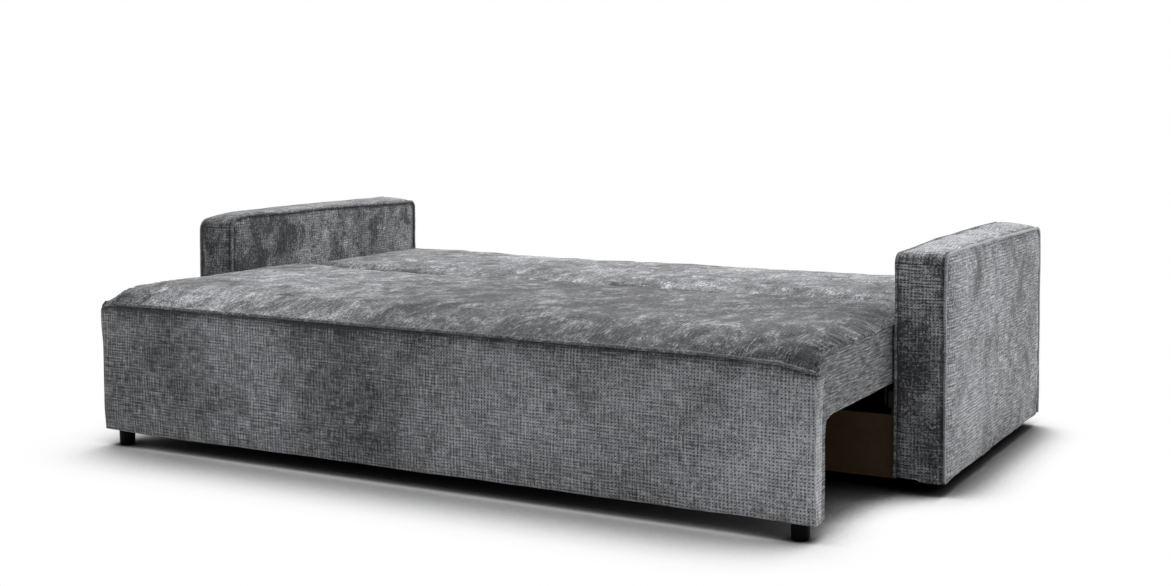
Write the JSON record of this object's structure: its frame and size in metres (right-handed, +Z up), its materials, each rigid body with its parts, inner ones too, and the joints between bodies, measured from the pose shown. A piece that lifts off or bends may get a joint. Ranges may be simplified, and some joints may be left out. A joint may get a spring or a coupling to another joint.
{
  "type": "sleeper sofa with pull-out bed",
  "caption": "Upholstered arm sofa shown as a bed: the seat rolls forward on runners while the hinged backrest lies down flat behind it, over a bedding box.",
  "frame": {"origin": "on the floor below the middle of the sofa's box, shown as a bed", "axes": "+X to the right seen from the front and along the sleeping length, +Y to the rear, +Z up"},
  "size_m": [2.263, 1.4558, 0.577],
  "materials": {
    "upholstery": "crushed chenille with a crossed weave and a mottled nap",
    "piping": "self-fabric welt",
    "timber": "planed softwood",
    "fibreboard": "brown hardboard, matt",
    "lining": "black non-woven lining",
    "foam": "open-cell polyurethane foam",
    "webbing": "elastic upholstery webbing",
    "foot_plastic": "black moulded plastic, satin",
    "roller_plastic": "black nylon",
    "painted_steel": "black painted pressed steel",
    "zinc_steel": "zinc plated steel"
  },
  "bodies": {
    "base": {"arm_frame_left": "timber", "arm_frame_right": "timber", "arm_cover_left": "upholstery", "arm_cover_right": "upholstery", "arm_piping_left_outer": "piping", "arm_piping_left_inner": "piping", "arm_piping_right_outer": "piping", "arm_piping_right_inner": "piping", "arm_foot_left_front": "foot_plastic", "arm_foot_left_rear": "foot_plastic", "arm_foot_right_front": "foot_plastic", "arm_foot_right_rear": "foot_plastic", "arm_bolt_left_front": "zinc_steel", "arm_bolt_left_rear": "zinc_steel", "arm_bolt_right_front": "zinc_steel", "arm_bolt_right_rear": "zinc_steel", "base_front_board": "fibreboard", "base_rear_board": "fibreboard", "base_side_board_left": "fibreboard", "base_side_board_right": "fibreboard", "base_floor_panel": "fibreboard", "back_rest_strip": "timber", "runner_left": "painted_steel", "runner_right": "painted_steel", "link_bracket_left": "painted_steel", "link_bracket_right": "painted_steel"},
    "seat": {"seat_frame": "timber", "seat_webbing": "webbing", "seat_foam": "foam", "seat_cushion": "upholstery", "front_panel_board": "fibreboard", "front_panel_cover": "upholstery", "seat_piping": "piping", "seat_side_cover_left": "upholstery", "seat_side_cover_right": "upholstery", "cheek_post_left": "timber", "cheek_post_right": "timber", "seat_foot_left": "foot_plastic", "seat_foot_right": "foot_plastic", "seat_lining": "lining", "carriage_left": "painted_steel", "carriage_right": "painted_steel"},
    "backrest": {"back_frame": "timber", "back_webbing": "webbing", "back_foam": "foam", "back_cushion": "upholstery", "back_lining": "lining", "back_bracket_left": "zinc_steel", "back_bracket_right": "zinc_steel"},
    "link_left": {"link_left": "zinc_steel"},
    "link_right": {"link_right": "zinc_steel"},
    "roller_left_front": {"roller_left_front": "roller_plastic"},
    "roller_left_rear": {"roller_left_rear": "roller_plastic"},
    "roller_right_front": {"roller_right_front": "roller_plastic"},
    "roller_right_rear": {"roller_right_rear": "roller_plastic"}
  },
  "joints": [
    {"name": "seat_slide", "type": "slide", "parent": "base", "child": "seat", "axis": [0, 1, 0], "range_m": [0, 0.455]},
    {"name": "back_hinge", "type": "hinge", "parent": "seat", "child": "backrest", "pos_m": [0, 0.17188, 0.331], "axis": [1, 0, 0], "range_deg": [0, 90.01]},
    {"name": "link_pivot_left", "type": "hinge", "parent": "base", "child": "link_left", "pos_m": [-0.966, 0.59834, 0.07], "axis": [1, 0, 0], "range_deg": [-53.84, 0]},
    {"name": "roller_spin_left_front", "type": "hinge", "parent": "seat", "child": "roller_left_front", "pos_m": [-0.976, -0.10985, 0.2043], "axis": [1, 0, 0], "range_deg": [-1630.3, 0]},
    {"name": "roller_spin_left_rear", "type": "hinge", "parent": "seat", "child": "roller_left_rear", "pos_m": [-0.976, 0.03015, 0.2043], "axis": [1, 0, 0], "range_deg": [-1630.3, 0]},
    {"name": "link_pivot_right", "type": "hinge", "parent": "base", "child": "link_right", "pos_m": [0.966, 0.59834, 0.07], "axis": [1, 0, 0], "range_deg": [-53.84, 0]},
    {"name": "roller_spin_right_front", "type": "hinge", "parent": "seat", "child": "roller_right_front", "pos_m": [0.976, -0.10985, 0.2043], "axis": [1, 0, 0], "range_deg": [-1630.3, 0]},
    {"name": "roller_spin_right_rear", "type": "hinge", "parent": "seat", "child": "roller_right_rear", "pos_m": [0.976, 0.03015, 0.2043], "axis": [1, 0, 0], "range_deg": [-1630.3, 0]}
  ],
  "couplings": [
    {"joint": "back_hinge", "follows": "seat_slide", "rad_per_m": 3.4523},
    {"joint": "link_pivot_left", "follows": "seat_slide", "rad_per_m": -2.0651},
    {"joint": "roller_spin_left_front", "follows": "seat_slide", "rad_per_m": -62.5},
    {"joint": "roller_spin_left_rear", "follows": "seat_slide", "rad_per_m": -62.5},
    {"joint": "link_pivot_right", "follows": "seat_slide", "rad_per_m": -2.0651},
    {"joint": "roller_spin_right_front", "follows": "seat_slide", "rad_per_m": -62.5},
    {"joint": "roller_spin_right_rear", "follows": "seat_slide", "rad_per_m": -62.5}
  ]
}
